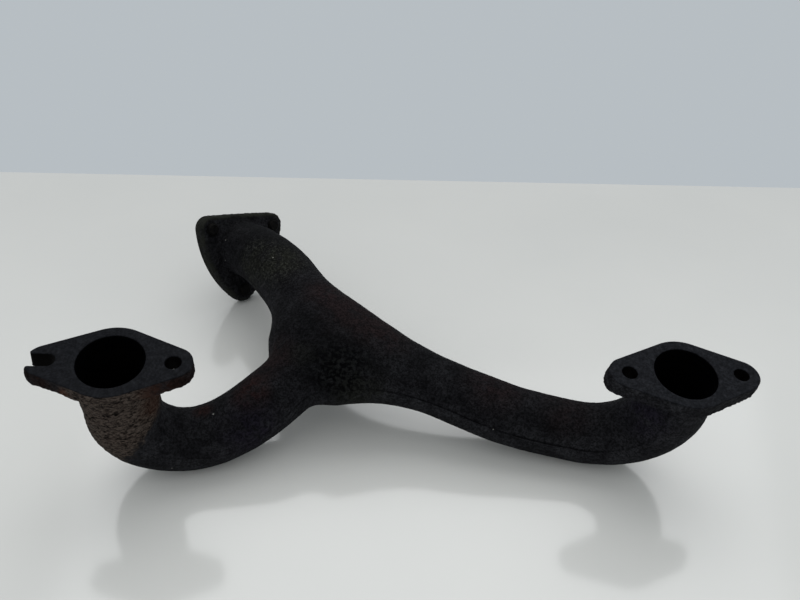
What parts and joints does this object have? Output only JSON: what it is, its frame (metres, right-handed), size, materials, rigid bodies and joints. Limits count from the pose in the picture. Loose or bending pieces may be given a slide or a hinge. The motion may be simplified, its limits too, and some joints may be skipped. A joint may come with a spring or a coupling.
{
  "type": "exhaust manifold",
  "caption": "Cast-iron Y-shaped exhaust manifold: two runners rise to flat diamond port flanges and join into one pipe that ends at a three-cornered studded outlet flange.",
  "frame": {"origin": "centre of port 1's bore on its machined face", "axes": "+Z out of both port faces, towards the engine; +X from port 1 to port 2; +Y towards the outlet's side"},
  "size_m": [0.4001, 0.2492, 0.1271],
  "materials": {
    "cast_iron": "sooty, heat-scaled as-cast iron with rust at its flanges; port faces machined flat",
    "stud_steel": "rust-browned steel, ends sheared and dull"
  },
  "bodies": {
    "root": {"manifold_casting": "cast_iron", "outlet_stud_1": "stud_steel", "outlet_stud_2": "stud_steel", "outlet_stud_3": "stud_steel"}
  },
  "joints": []
}
